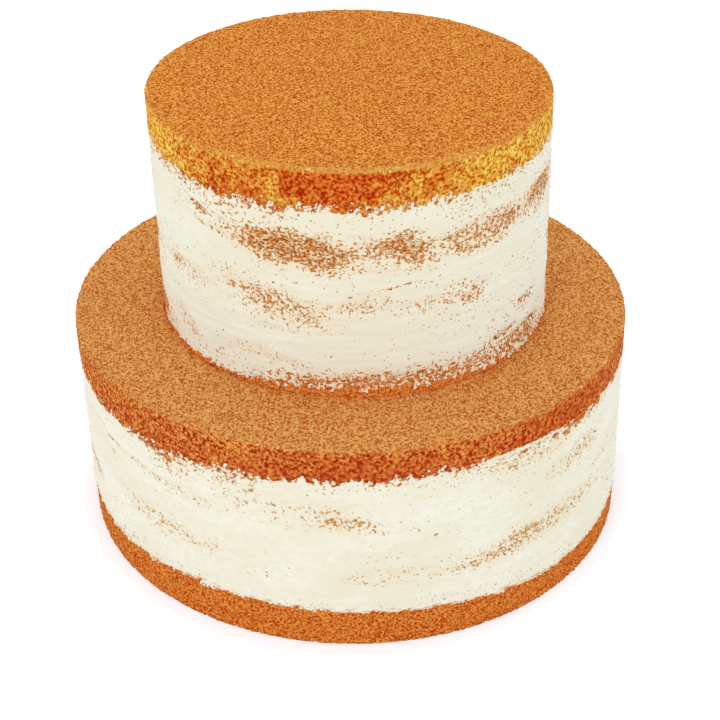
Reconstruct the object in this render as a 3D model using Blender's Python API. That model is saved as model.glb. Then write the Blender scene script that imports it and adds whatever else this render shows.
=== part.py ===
"""A two-tier naked layer cake, in metres, +Z up, with its origin under the middle of its base.

Each tier is a round stack of four sponge layers with three cream layers between them. A thin scraped
coat of cream wraps the stack like a sleeve. The top sponge of each tier stays bare, and so does the
foot of the bottom one. The layers are a little uneven, so each boundary between two layers rises and
falls on its way round, and the layers on both sides of it follow the same wave.
"""

import math
from collections import namedtuple

import bmesh
import bpy

MM = 0.001

# Driving dimensions
LOWER_RADIUS = 130 * MM
LOWER_HEIGHT = 105 * MM
UPPER_RADIUS = 90 * MM
UPPER_HEIGHT = 107.5 * MM
COAT_THICKNESS = 2.0 * MM
GAP = 0.3 * MM
RIM_ROUNDING = 1.6 * MM
SEGMENTS = 64

# How far each layer swells between its two boundaries
SPONGE_BULGE = 0.35 * MM
CREAM_BULGE = 0.15 * MM

# The heights in a tier of the boundaries between its coated layers, from the bottom one up
LOWER_BOUNDARIES = [24 * MM, 31 * MM, 48 * MM, 57 * MM, 77 * MM]
UPPER_BOUNDARIES = [20 * MM, 31.5 * MM, 51 * MM, 62 * MM, 78.5 * MM]
BOUNDARY_WAVE = 1.2 * MM
OUTLINE_WAVE = 0.3 * MM

# The two edges of each coat: their height in the tier, how far they wander up and down on their way
# round, and the turn of that wave
Edge = namedtuple("Edge", "height wave turn")
LOWER_FOOT = Edge(height=16.8 * MM, wave=3.6 * MM, turn=6.1)
LOWER_BARE_TOP = Edge(height=90 * MM, wave=3.4 * MM, turn=2.9)
UPPER_FOOT = Edge(height=5.2 * MM, wave=1.6 * MM, turn=11.6)
UPPER_BARE_TOP = Edge(height=92.5 * MM, wave=2.6 * MM, turn=14.9)

# A hand-stacked tier leans by this much from its base to its top, towards -X
TIER_LEAN = 2.0 * MM

# Linear colours
GOLDEN_SPONGE = (0.62, 0.26, 0.045, 1.0)
BROWN_SPONGE = (0.56, 0.17, 0.035, 1.0)
CREAM = (0.87, 0.80, 0.66, 1.0)


def make_material(name, colour, roughness):
    """A plain matte food surface."""
    material = bpy.data.materials.new(name)
    material.use_nodes = True
    shader = material.node_tree.nodes["Principled BSDF"]
    shader.inputs["Base Color"].default_value = colour
    shader.inputs["Roughness"].default_value = roughness
    shader.inputs["Metallic"].default_value = 0.0
    return material


def wave(angle, size, turn):
    """A slow, uneven rise and fall around the cake that closes on itself."""
    return size * (
        0.60 * math.sin(2 * angle + turn)
        + 0.30 * math.sin(3 * angle + 2.1 * turn)
        + 0.10 * math.sin(7 * angle + 0.7 * turn)
    )


class Tier:
    """One round tier: where its layers meet, how wide it is at each height and how it leans."""

    def __init__(self, base, radius, height, boundaries, foot, bare_top, turn):
        self.base = base
        self.radius = radius
        self.height = height
        self.boundaries = boundaries
        self.foot = foot
        self.bare_top = bare_top
        self.turn = turn

    def floor(self, angle):
        """The height that the tier stands at, which is the same all the way round."""
        return self.base

    def top(self, angle):
        """The height of the tier's flat top."""
        return self.base + self.height

    def boundary(self, number):
        """The height of a boundary between two layers, as a function of the angle. Numbers start at 1."""
        if number > len(self.boundaries):
            return self.bare_top_edge
        middle = self.base + self.boundaries[number - 1]
        return lambda angle: middle + wave(angle, BOUNDARY_WAVE, self.turn + 1.7 * number)

    def foot_edge(self, angle):
        """The height of the coat's lower edge, above the bare foot."""
        return self.base + self.foot.height + wave(angle, self.foot.wave, self.foot.turn)

    def bare_top_edge(self, angle):
        """The height of the coat's upper edge, where the bare top sponge begins."""
        return self.base + self.bare_top.height + wave(angle, self.bare_top.wave, self.bare_top.turn)

    def outline(self, angle):
        """How far the tier's wall stands out from a true circle."""
        return wave(angle, OUTLINE_WAVE, self.turn + 3.0)

    def point(self, angle, depth, height):
        """A point at this depth below the tier's outer wall."""
        radius = self.radius + self.outline(angle) - depth
        lean = TIER_LEAN * (0.5 - (height - self.base) / self.height)
        return (radius * math.cos(angle) + lean, radius * math.sin(angle), height)


def circle_angles():
    return [2 * math.pi * step / SEGMENTS for step in range(SEGMENTS)]


def add_object(name, mesh_builder, material):
    mesh = bpy.data.meshes.new(name)
    bmesh.ops.recalc_face_normals(mesh_builder, faces=mesh_builder.faces)
    mesh_builder.to_mesh(mesh)
    mesh_builder.free()
    mesh.materials.append(material)
    made = bpy.data.objects.new(name, mesh)
    bpy.context.scene.collection.objects.link(made)
    mesh.shade_smooth()
    mesh.set_sharp_from_angle(angle=math.radians(35))
    return made


def bridge(builder, first, second):
    """Quads between two rings of vertices."""
    count = len(first)
    for here in range(count):
        after = (here + 1) % count
        builder.faces.new((first[here], first[after], second[after], second[here]))


def turned_layer(name, tier, rings, material):
    """A solid disc. Each ring is (depth, height function), from the disc's lower rim up to its top rim."""
    builder = bmesh.new()
    loops = [
        [builder.verts.new(tier.point(angle, depth, height(angle))) for angle in circle_angles()]
        for depth, height in rings
    ]
    for lower, upper in zip(loops, loops[1:]):
        bridge(builder, lower, upper)
    for loop in (loops[0], loops[-1]):
        middle_height = sum(vertex.co.z for vertex in loop) / SEGMENTS
        lean = TIER_LEAN * (0.5 - (middle_height - tier.base) / tier.height)
        middle = builder.verts.new((lean, 0, middle_height))
        for here in range(SEGMENTS):
            builder.faces.new((loop[here], loop[(here + 1) % SEGMENTS], middle))
    return add_object(name, builder, material)


def sleeve(name, tier, outer_rings, inner_depth, material):
    """A closed ring-shaped wall. The outer rings run from the lower edge up to the top edge."""
    builder = bmesh.new()
    inner_rings = [(inner_depth, outer_rings[-1][1]), (inner_depth, outer_rings[0][1])]
    loops = [
        [builder.verts.new(tier.point(angle, depth, height(angle))) for angle in circle_angles()]
        for depth, height in outer_rings + inner_rings
    ]
    for first, second in zip(loops, loops[1:] + loops[:1]):
        bridge(builder, first, second)
    return add_object(name, builder, material)


def shifted(height, amount):
    """The same wavy height, moved up or down."""
    return lambda angle: height(angle) + amount


def between(low, high, share):
    """A wavy height that lies at this share of the way from low to high."""
    return lambda angle: low(angle) + (high(angle) - low(angle)) * share


def inner_layer(name, tier, number, bulge, material):
    """A layer inside the coat, between two boundaries of the tier."""
    low = shifted(tier.boundary(number), GAP / 2)
    high = shifted(tier.boundary(number + 1), -GAP / 2)
    wall = COAT_THICKNESS + GAP + bulge
    rings = [(wall, low), (wall - bulge, between(low, high, 0.5)), (wall, high)]
    return turned_layer(name, tier, rings, material)


def bottom_sponge(name, tier, material):
    """The lowest layer: a bare foot as wide as the tier, then a step in to where the coat wraps it."""
    high = shifted(tier.boundary(1), -GAP / 2)
    step = shifted(tier.foot_edge, -GAP / 2)
    wall = COAT_THICKNESS + GAP
    rings = [
        (RIM_ROUNDING * 0.4, tier.floor),
        (0, shifted(tier.floor, RIM_ROUNDING * 0.6)),
        (0, shifted(step, -RIM_ROUNDING * 0.3)),
        (RIM_ROUNDING * 0.3, step),
        (wall, step),
        (wall, high),
    ]
    return turned_layer(name, tier, rings, material)


def top_sponge(name, tier, material):
    """The bare top layer, as wide as the tier, with a softly rounded upper rim."""
    low = shifted(tier.bare_top_edge, GAP / 2)
    rings = [
        (RIM_ROUNDING * 0.3, low),
        (SPONGE_BULGE * 0.3, between(low, tier.top, 0.15)),
        (0, between(low, tier.top, 0.5)),
        (SPONGE_BULGE, shifted(tier.top, -RIM_ROUNDING)),
        (SPONGE_BULGE + RIM_ROUNDING * 0.3, shifted(tier.top, -RIM_ROUNDING * 0.3)),
        (SPONGE_BULGE + RIM_ROUNDING, tier.top),
    ]
    return turned_layer(name, tier, rings, material)


def cream_coat(name, tier, material):
    """The scraped cream that wraps the layers, from the bare foot up to the bare top layer."""
    low = shifted(tier.foot_edge, GAP / 2)
    high = shifted(tier.bare_top_edge, -GAP / 2)
    edge = COAT_THICKNESS * 0.35
    rings = [
        (edge, low),
        (0, shifted(low, edge)),
        (CREAM_BULGE, between(low, high, 0.5)),
        (0, shifted(high, -edge)),
        (edge, high),
    ]
    return sleeve(name, tier, rings, COAT_THICKNESS, material)


def build_tier(prefix, tier, sponge, cream):
    """All the pieces of one tier, from the bottom up, and the coat around them."""
    bottom_sponge(prefix + "_sponge_1", tier, sponge)
    sponges = 1
    creams = 0
    for number in range(1, len(tier.boundaries) + 1):
        if number % 2:
            creams += 1
            inner_layer(f"{prefix}_cream_{creams}", tier, number, CREAM_BULGE, cream)
        else:
            sponges += 1
            inner_layer(f"{prefix}_sponge_{sponges}", tier, number, SPONGE_BULGE, sponge)
    top_sponge(f"{prefix}_sponge_{sponges + 1}", tier, sponge)
    cream_coat(prefix + "_cream_coat", tier, cream)


def main():
    for old in list(bpy.data.objects):
        bpy.data.objects.remove(old)
    brown = make_material("brown_sponge", BROWN_SPONGE, 0.9)
    golden = make_material("golden_sponge", GOLDEN_SPONGE, 0.9)
    cream = make_material("cream", CREAM, 0.55)
    lower = Tier(
        base=0.0,
        radius=LOWER_RADIUS,
        height=LOWER_HEIGHT,
        boundaries=LOWER_BOUNDARIES,
        foot=LOWER_FOOT,
        bare_top=LOWER_BARE_TOP,
        turn=0.9,
    )
    upper = Tier(
        base=LOWER_HEIGHT + GAP,
        radius=UPPER_RADIUS,
        height=UPPER_HEIGHT,
        boundaries=UPPER_BOUNDARIES,
        foot=UPPER_FOOT,
        bare_top=UPPER_BARE_TOP,
        turn=2.6,
    )
    build_tier("lower", lower, brown, cream)
    build_tier("upper", upper, golden, cream)


main()
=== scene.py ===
"""A naked layer cake in two round tiers, built round the fixed frame of its solids.

Each tier has baked sponge layers with a rough crumb and a thin coat of scraped cream. The coat and the
crumb lie almost at the same depth, so the highest crumbs come through wherever the scraper left the
coat thin. Lengths are in metres. Angles go round the cake from its front, which faces -Y, and grow
towards +X.
"""

import itertools
import math
from collections import namedtuple

import bpy
import numpy as np
from bpy.props import FloatProperty, FloatVectorProperty, IntProperty, PointerProperty
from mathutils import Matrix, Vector


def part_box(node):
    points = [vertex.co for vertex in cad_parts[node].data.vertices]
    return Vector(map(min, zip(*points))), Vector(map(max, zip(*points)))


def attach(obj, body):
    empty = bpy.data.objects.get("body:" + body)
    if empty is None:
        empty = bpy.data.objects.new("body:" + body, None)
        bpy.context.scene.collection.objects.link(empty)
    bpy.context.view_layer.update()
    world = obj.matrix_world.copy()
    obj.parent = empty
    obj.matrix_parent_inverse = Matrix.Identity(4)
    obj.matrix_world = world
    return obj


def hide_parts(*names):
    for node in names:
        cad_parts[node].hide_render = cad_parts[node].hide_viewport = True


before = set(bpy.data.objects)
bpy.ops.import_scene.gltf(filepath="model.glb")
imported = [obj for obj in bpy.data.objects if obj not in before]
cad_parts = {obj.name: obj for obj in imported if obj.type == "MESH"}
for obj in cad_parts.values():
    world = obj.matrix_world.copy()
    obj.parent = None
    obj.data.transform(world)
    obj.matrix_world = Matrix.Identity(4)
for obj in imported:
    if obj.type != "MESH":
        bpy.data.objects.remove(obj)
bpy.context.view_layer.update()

bl_info = {
    "name": "Naked Layer Cake",
    "version": (1, 0, 0),
    "blender": (4, 5, 0),
    "location": "View3D > Sidebar > Cake",
    "description": "Builds a tiered naked cake of crumbly sponge and scraped cream round its frame",
    "category": "Add Mesh",
}

MM = 0.001
BODY = "root"
FULL_TURN = 2 * math.pi
COAT_CORNERS = 64


# ---------------------------------------------------------------- settings


def length(name, description, default):
    """A setting that is a length."""
    return FloatProperty(name=name, description=description, default=default, unit="LENGTH", precision=5)


def colour(name, description, default):
    """A setting that is a linear colour."""
    return FloatVectorProperty(
        name=name, description=description, default=default, size=3, subtype="COLOR", min=0, max=1
    )


class CakeSizes(bpy.types.PropertyGroup):
    """How rough and how thick the sponge and the cream are."""

    sponge_step: length("Sponge grid", "Spacing of the points on the crumb", 0.55 * MM)
    coat_step: length("Coat grid", "Spacing of the points on the coat", 0.83 * MM)
    top_step: length("Crust grid", "Spacing of the points on the baked tops", 0.82 * MM)
    crumb_size: length("Crumb size", "Width of one crumb of the sponge", 1.3 * MM)
    crumb_depth: length("Crumb depth", "How far crumbs stand out of the sponge", 0.55 * MM)
    pore_size: length("Pore size", "Spacing of the pores in the sponge", 3.4 * MM)
    pore_depth: length("Pore depth", "Depth of the pores in the sponge", 0.7 * MM)
    sponge_inset: length("Sponge inset", "How far the coated crumb lies behind the coat", 0.42 * MM)
    wall_inset: length("Wall inset", "How far the bare crumb lies behind the coat", 0.2 * MM)
    crust_relief: length("Crust relief", "Height of the grain on the baked tops", 0.2 * MM)
    rim_rounding: length("Rim rounding", "Radius of the baked tops' rims", 1.1 * MM)
    streak_depth: length("Streak depth", "Depth of the scraper's streaks in the cream", 0.16 * MM)
    coat_wander: length("Coat wander", "How uneven the scraped coat is", 0.45 * MM)
    thin_depth: length("Thin depth", "How far the coat recedes where it is scraped bare", 1.15 * MM)
    edge_overlap: length("Edge overlap", "How far the coat runs on behind the bare sponge", 4 * MM)
    crumb_overlap: length("Crumb overlap", "How far the bare sponge runs down behind the coat", 9 * MM)
    foot_sink: length("Foot sink", "How deep the upper tier's foot settles into the crust", 0.5 * MM)
    fringe: length("Fringe", "How ragged the coat's edges are", 3.2 * MM)
    loose_crumb: length("Loose crumb", "Radius of a loose crumb of sponge", 0.42 * MM)
    seed: IntProperty(name="Seed", description="Seed of everything random", default=7, min=0)


class CakeColours(bpy.types.PropertyGroup):
    """The colours of the baked sponge and the cream."""

    cream: colour("Cream", "Thick cream", (0.955, 0.925, 0.81))
    cream_warm: colour("Warm cream", "Buttery drifts in the cream", (0.90, 0.845, 0.67))
    # Painted light: paler, less orange cream over the lower crust, against its bounce and the foot's shade
    painted_pale_cream: colour("Painted pale cream", "Cream above the crust, which tints it", (0.91, 1.0, 0.89))
    cream_thin: colour("Thin cream", "Cream with sponge close behind it", (0.885, 0.67, 0.40))
    crumb_dark: colour("Dark crumb", "Shadowed crumbs in the cream", (0.42, 0.09, 0.010))
    crumb_mid: colour("Middle crumb", "Caught crumbs", (0.74, 0.32, 0.05))
    crumb_pale: colour("Pale crumb", "Pale crumbs", (0.84, 0.48, 0.10))
    crumb_rim: colour("Rim crumb", "Palest crumbs, on the rims", (0.92, 0.66, 0.28))
    golden_crust: colour("Golden crust", "Upper tier's baked top", (0.675, 0.232, 0.032))
    golden_wall: colour("Golden crumb", "Upper tier's bare wall", (0.83, 0.44, 0.042))
    brown_crust: colour("Brown crust", "Lower tier's baked top", (0.66, 0.275, 0.071))
    brown_wall: colour("Brown crumb", "Lower tier's bare wall", (0.625, 0.155, 0.026))
    # Partly painted shade: harder-baked red, which also paints the shade under the upper rim at the front
    toasted: colour("Toasted crumb", "Upper tier's harder baked wall", (0.635, 0.108, 0.010))
    brown_toasted: colour("Brown toasted crumb", "Lower tier's harder baked wall", (0.57, 0.102, 0.018))
    # Painted shadow: dark maroon on the bare wall just above the cream's ragged edge
    edge_shadow: colour("Edge shadow", "Darkest crumb, beside the cream's edge", (0.36, 0.045, 0.008))
    foot: colour("Foot", "Upper tier's bare foot", (0.77, 0.25, 0.045))
    lip: colour("Lip", "Pale line where the crust meets the wall", (0.775, 0.385, 0.078))
    layer: colour("Layer", "Sponge that shows through the coat", (0.51, 0.15, 0.022))
    speck: colour("Speck", "Fine crumbs smeared into the upper coat", (0.66, 0.30, 0.07))
    tan_layer: colour("Tan layer", "Sponge that shows through the lower coat", (0.57, 0.235, 0.045))
    tan_speck: colour("Tan speck", "Fine crumbs smeared into the lower coat", (0.67, 0.39, 0.12))
    lower_foot: colour("Lower foot", "Lower tier's bare foot", (0.69, 0.185, 0.028))


class CakeStage(bpy.types.PropertyGroup):
    """Camera, light and floor."""

    elevation: FloatProperty(
        name="Elevation", description="Camera above the horizon", default=0.5682, subtype="ANGLE"
    )
    distance: length("Distance", "Camera from the point it looks at", 0.8032)
    aim_height: length("Aim height", "Height of the point the camera looks at", 0.0670)
    aim_side: length("Aim side", "How far right of the axis the camera looks", 3.6 * MM)
    lens: FloatProperty(name="Lens", description="Focal length in millimetres", default=82.05)
    sky: FloatProperty(name="Sky", description="Strength of the even light", default=0.95)
    key_power: FloatProperty(name="Key", description="Power of the soft lamp", default=1.6, unit="POWER")
    key_size: length("Key size", "Width of the soft lamp", 0.9)
    key_aim: length("Key aim", "Height of the point the lamp shines at", 0.1)
    key_place: FloatVectorProperty(
        name="Key place", description="Where the soft lamp hangs", default=(-0.35, -1.0, 1.0), size=3
    )
    floor_reach: length("Floor reach", "How far the floor runs from the cake to each side", 15.0)
    floor_colour: colour("Floor colour", "Colour that the floor throws back", (0.885, 0.94, 0.95))
    glow_colour: colour("Glow colour", "Colour that whitens the floor to the eye", (0.76, 0.9, 1.0))
    glow: FloatProperty(name="Glow", description="How much the floor is whitened to the eye", default=0.31)


# ---------------------------------------------------------------- shape rules


# What the noise multiplies a cell's place, its seed and its mixed key by to reach a random number
CELL_FACTORS = np.array([73856093, 19349663, 83492791])
SEED_FACTOR = 40503
KEY_FACTOR = 1274126177

# How many bumps each seed shifts the noise by, and what brings it to about -1 to 1
SEED_SHIFT = 17.31
NOISE_GAIN = 1.7


def noise(points, size, seed, stretch=1.0):
    """Smooth noise, about -1 to 1, with bumps of this size that are longer by stretch along the ground."""
    place = points / (np.array([stretch, stretch, 1.0]) * size) + SEED_SHIFT * seed
    cell = np.floor(place).astype(np.int64)
    inside = place - cell
    ease = inside**3 * (inside * (inside * 6 - 15) + 10)
    total = np.zeros(len(points))
    for corner in itertools.product((0, 1), repeat=3):
        step = np.array(corner)
        here = (cell + step) * CELL_FACTORS
        key = here[:, 0] ^ here[:, 1] ^ here[:, 2] ^ (seed * SEED_FACTOR)
        key = (key ^ (key >> 13)) * KEY_FACTOR
        key ^= key >> 16
        slopes = np.stack([(key >> shift & 255) / 127.5 - 1 for shift in (0, 8, 16)], 1)
        weight = np.prod(np.where(step, ease, 1 - ease), axis=1)
        total += weight * np.sum(slopes * (inside - step), axis=1)
    return NOISE_GAIN * total


def ramp(value, start, end):
    """0 at start, 1 at end, with a soft step between them."""
    share = np.clip((value - start) / (end - start), 0, 1)
    return share * share * (3 - 2 * share)


def hill(value, middle, width):
    """1 at the middle, falling softly to 0 on both sides of it."""
    return np.exp(-(((value - middle) / width) ** 2))


def turn_from(degrees, middle):
    """How far angles in degrees lie from a middle one, the short way round."""
    return (degrees - middle + 180) % 360 - 180


def outward(angle):
    """The directions straight out from the axis at these angles, as rows."""
    return np.stack([np.sin(angle), -np.cos(angle), 0 * angle], 1)


class Tier:
    """Where one tier stands: its axis, its radius, and how the two edges of its coat run round it."""

    def __init__(self, name):
        foot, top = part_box(f"{name}_sponge_1"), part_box(f"{name}_sponge_4")
        self.name = name
        self.base = foot[0].z
        self.top = top[1].z
        self.radius = (top[1].y - top[0].y) / 2
        self.low_middle = (foot[0] + foot[1]) / 2
        self.high_middle = (top[0] + top[1]) / 2
        self.read_edges(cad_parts[f"{name}_cream_coat"])

    def read_edges(self, coat):
        """Reads the height of the coat's lower and upper edge at each corner of its solid."""
        spots = np.array([vertex.co for vertex in coat.data.vertices])
        corner = np.round(self.angle_of(spots) / FULL_TURN * COAT_CORNERS) % COAT_CORNERS
        numbers = np.arange(COAT_CORNERS)
        self.edge_angles = numbers * FULL_TURN / COAT_CORNERS
        self.low_edge = np.array([spots[corner == number, 2].min() for number in numbers])
        self.high_edge = np.array([spots[corner == number, 2].max() for number in numbers])

    def axis(self, height):
        """How far to the side the leaning axis is at this height."""
        share = (height - self.low_middle.z) / (self.high_middle.z - self.low_middle.z)
        return self.low_middle.x + (self.high_middle.x - self.low_middle.x) * share

    def angle_of(self, points):
        return np.arctan2(points[:, 0] - self.axis(points[:, 2]), -points[:, 1])

    def point(self, angle, radius, height):
        """The points at these angles, radii and heights, as rows."""
        across = self.axis(height) + radius * np.sin(angle)
        return np.stack([across, -radius * np.cos(angle), height + 0 * angle], -1)

    def foot_edge(self, angle):
        return np.interp(angle, self.edge_angles, self.low_edge, period=FULL_TURN)

    def top_edge(self, angle):
        return np.interp(angle, self.edge_angles, self.high_edge, period=FULL_TURN)


# A place where the scraper took off most of the cream: its middle and half width in degrees, its depth
# below the tier's top, its half height and its drop from left to right in millimetres, and how bare it is
Patch = namedtuple("Patch", "middle width depth height drop bareness")

UPPER_PATCHES = [
    Patch(-14, 17, 37.0, 7.5, 5, 1.05),
    Patch(14, 11, 37.5, 7.5, -1, 0.76),
    Patch(39, 14, 37.5, 7.0, -3, 0.70),
    Patch(66, 13, 34.0, 7.0, -4, 0.54),
    Patch(-22, 16, 64.0, 8.0, 9, 0.52),
    Patch(2, 8, 62.0, 4.0, -2, 0.42),
    Patch(-51, 13, 64.0, 5.0, 5, 0.38),
    Patch(25, 15, 64.0, 4.0, -1, 0.34),
    Patch(-56, 6, 92.0, 5.5, 4, 0.56),
    Patch(-28, 12, 90.0, 2.5, 4, 0.34),
    Patch(14, 32, 100.0, 5.0, 0, 0.52),
    Patch(55, 10, 98.5, 4.5, -2, 0.55),
    Patch(12, 7, 54.0, 0.7, -1, 0.62),
    Patch(-42, 4, 28.0, 1.6, 3, 0.72),
    Patch(-39, 7, 36.5, 1.0, 7, 0.48),
    Patch(83, 4, 66.0, 3.5, -2, 0.60),
    Patch(35, 4, 66.0, 2.4, -1, 0.56),
    Patch(59, 5, 82.0, 3.2, -2, 0.50),
    Patch(46, 6, 92.0, 3.0, -3, 0.46),
    Patch(83, 4, 90.0, 3.0, -2, 0.55),
]

LOWER_PATCHES = [
    Patch(0, 5, 39.0, 4.0, 4, 0.44),
    Patch(-50, 17, 33.5, 1.1, 6, 0.50),
    Patch(-33, 9, 38.0, 2.6, 3, 0.38),
    Patch(-58, 4, 40.0, 0.9, 3, 0.50),
    Patch(-41, 11, 60.0, 6.0, 6, 0.42),
    Patch(10, 10, 67.5, 4.5, 0, 0.34),
    Patch(37, 18, 64.0, 5.5, -7, 0.42),
    Patch(53, 9, 33.0, 5.5, -5, 0.36),
    Patch(60, 3, 50.0, 1.0, -2, 0.50),
    Patch(42, 16, 18.5, 4.5, -3, 0.46),
    Patch(-12, 14, 33.0, 9.0, 0, 0.22),
]

# How the coat's edges change on their way round: the angle in degrees, how ragged its upper and its lower
# edge are there, and how far in millimetres cream is smeared down over the foot
Edge = namedtuple("Edge", "angle top foot smeared", defaults=[0.0])
EDGES = {
    "upper": [
        Edge(-110, 0.9, 0.6, 1.0),
        Edge(-60, 0.9, 0.4, 3.2),
        Edge(-28, 1.15, 0.7, 3.2),
        Edge(-14, 1.0, 1.3, 2.6),
        Edge(20, 0.75, 1.5, 2.5),
        Edge(70, 0.5, 1.4, 2.6),
        Edge(150, 1.0, 0.7, 2.5),
    ],
    "lower": [
        Edge(-95, 0.5, 0.6),
        Edge(-62, 0.5, 0.7),
        Edge(-34, 1.4, 0.9),
        Edge(-12, 0.9, 0.6),
        Edge(14, 1.0, 0.5),
        Edge(24, 0.8, 0.5),
        Edge(29, 0.15, 0.5),
        Edge(66, 0.12, 0.6),
        Edge(100, 0.5, 0.6),
        Edge(180, 1.0, 0.6),
    ],
}

# How much butterier the cream is at each tier's front, and how many crumbs are smeared all over it
WARMTH = {"upper": 0.7, "lower": 0.1}
SPRINKLING = {"upper": 0.21, "lower": 0.13}

PATCHES = {"upper": UPPER_PATCHES, "lower": LOWER_PATCHES}

# Round the back, in millimetres below each tier's top, the depths at which sponge lies behind the coat, and
# where that stretch starts and ends in degrees
BACK_DEPTHS = {"upper": (37, 65, 98), "lower": (38, 64)}
BACK_START = 88.0
BACK_END = 270


def all_patches(tier, seed):
    """The patches of the front, and random ones of the same kind all round the back."""
    random = np.random.default_rng(seed)
    patches = list(PATCHES[tier.name])
    for depth in BACK_DEPTHS[tier.name]:
        middle = BACK_START
        while middle < BACK_END:
            width = random.uniform(7, 19)
            middle += width
            patches.append(
                Patch(
                    middle,
                    width,
                    depth + random.uniform(-2.5, 2.5),
                    random.uniform(2.5, 7.5),
                    random.uniform(-6, 6),
                    random.uniform(0.25, 0.72),
                )
            )
            middle += width + random.uniform(0, 14)
    return patches


def bareness(tier, angle, points, seed):
    """How far the scraper has bared the sponge at each point, and how thin it has left the cream."""
    warp_side = 4 * noise(points, 14 * MM, seed + 1)
    warp_up = 2.0 * noise(points, 6 * MM, seed + 2, 2.5)
    degrees = np.degrees(angle) + warp_side
    depth = (tier.top - points[:, 2]) / MM + warp_up
    bare, thin = np.zeros((2, len(points)))
    for patch in all_patches(tier, seed):
        across = turn_from(degrees, patch.middle) / patch.width
        down = (depth - patch.depth - patch.drop * across / 2) / patch.height
        away = across**2 + down**2
        bare = np.maximum(bare, patch.bareness * (1 - ramp(away, 0.2, 1.5)))
        thin = np.maximum(thin, patch.bareness * (1 - ramp(away, 0.3, 2.8)))
    streaks = noise(points, 2.6 * MM, seed + 3, 5) + 0.6 * noise(points, 4 * MM, seed + 4)
    return bare * (1 + 0.28 * streaks), thin * (1 + 0.3 * streaks)


def edge_profile(tier, angle):
    """How ragged the coat's upper and lower edges are at these angles, and how far down it is smeared."""
    angles, *columns = np.array(EDGES[tier.name]).T
    return [np.interp(np.degrees(angle), angles, column, period=360) for column in columns]


def coat_seed(tier, sizes):
    """Each coat has noise of its own."""
    return sizes.seed + (20 if tier.name == "upper" else 40)


def below_top_edge(tier, angle, points, sizes):
    """How far each point lies below the coat's ragged upper edge."""
    seed = coat_seed(tier, sizes)
    coarse = 0.35 * noise(points, 8 * MM, seed + 5) + 0.6 * noise(points, 3.2 * MM, seed + 6)
    fine = 0.8 * noise(points, 1.7 * MM, seed + 13)
    ragged = sizes.fringe * edge_profile(tier, angle)[0] * (coarse + fine)
    return tier.top_edge(angle) - points[:, 2] + ragged


def new_mesh(name, points, faces):
    """A smooth mesh from rows of points and a list of faces."""
    mesh = bpy.data.meshes.new(name)
    mesh.from_pydata(points.tolist(), [], faces)
    mesh.shade_smooth()
    mesh.update()
    return mesh


def store(mesh, name, values):
    """Keeps a number at each point of the mesh for its material. Points after the last value get 0."""
    padded = np.zeros(len(mesh.vertices), np.float32)
    padded[: len(values)] = values
    layer = mesh.attributes.new(name, "FLOAT", "POINT")
    layer.data.foreach_set("value", padded)


def ring_faces(rows, count, closed=False):
    """Faces between rings of points that are stored from the lowest ring up."""
    here = np.arange(count)
    after = (here + 1) % count
    faces = []
    for row in range(rows if closed else rows - 1):
        low, high = row * count, (row + 1) % rows * count
        faces += np.stack([low + here, low + after, high + after, high + here], 1).tolist()
    return faces


def slot_of(tier):
    """The record's slot for a tier's sponge."""
    return {"upper": "golden_sponge", "lower": "brown_sponge"}[tier.name]


def add_piece(name, mesh, material, slot, *nodes):
    """Shows a mesh as a piece of the cake that stands for some nodes of its frame."""
    piece = bpy.data.objects.new(name, mesh)
    bpy.context.scene.collection.objects.link(piece)
    mesh.materials.clear()
    mesh.materials.append(material)
    mesh.polygons.foreach_set("material_index", np.zeros(len(mesh.polygons), np.int32))
    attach(piece, BODY)
    if nodes:
        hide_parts(*nodes)
    return piece


# ---------------------------------------------------------------- node trees


def add_node(tree, kind, inputs=None, **settings):
    """Adds a node. An input is given by name or number, as a value or as the socket that feeds it."""
    node = tree.nodes.new(kind)
    for name, value in settings.items():
        setattr(node, name, value)
    for name, value in (inputs or {}).items():
        if isinstance(value, bpy.types.NodeSocket):
            tree.links.new(value, node.inputs[name])
        else:
            node.inputs[name].default_value = value
    return node


def math_of(tree, operation, first, second=0.0, third=0.0):
    """A Math node's result."""
    inputs = {0: first, 1: second, 2: third}
    return add_node(tree, "ShaderNodeMath", inputs, operation=operation).outputs[0]


def remap(tree, value, start, end, low=0.0, high=1.0):
    """The value stretched from start..end to low..high, and held there."""
    inputs = {"Value": value, "From Min": start, "From Max": end, "To Min": low, "To Max": high}
    return add_node(tree, "ShaderNodeMapRange", inputs).outputs[0]


def vector_of(tree, operation, first, second=None, scale=None):
    """A Vector Math node's vector."""
    inputs = {0: first}
    if second is not None:
        inputs[1] = second
    if scale is not None:
        inputs["Scale"] = scale
    return add_node(tree, "ShaderNodeVectorMath", inputs, operation=operation).outputs[0]


def blend(tree, share, first, second):
    """One colour mixed into another."""
    inputs = {0: share, 6: first, 7: second}
    return add_node(tree, "ShaderNodeMix", inputs, data_type="RGBA").outputs[2]


def grain(tree, place, size, detail=2.0, roughness=0.6, stretch=1.0):
    """Noise with spots of about this size, from 0 to 1 round a half."""
    if stretch != 1.0:
        place = vector_of(tree, "MULTIPLY", place, (1 / stretch, 1 / stretch, 1.0))
    inputs = {"Vector": place, "Scale": 1 / size, "Detail": detail, "Roughness": roughness}
    return add_node(tree, "ShaderNodeTexNoise", inputs).outputs[0]


def attribute(tree, name):
    """The number that each point of the mesh keeps under this name."""
    return add_node(tree, "ShaderNodeAttribute", attribute_name=name).outputs["Fac"]


# How much red, green and blue take part when a colour turns paler, so that it doesn't turn grey
PALER_SHARES = (1.0, 0.64, 0.42)


def opaque(rgb, depth=0.0):
    """A node colour from a setting. A depth over 0 bakes it deeper, and one below 0 leaves it paler."""
    shares = (1.0, 1.0, 1.0) if depth > 0 else PALER_SHARES
    return (*(part ** (1 + depth * share) for part, share in zip(rgb, shares)), 1.0)


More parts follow.
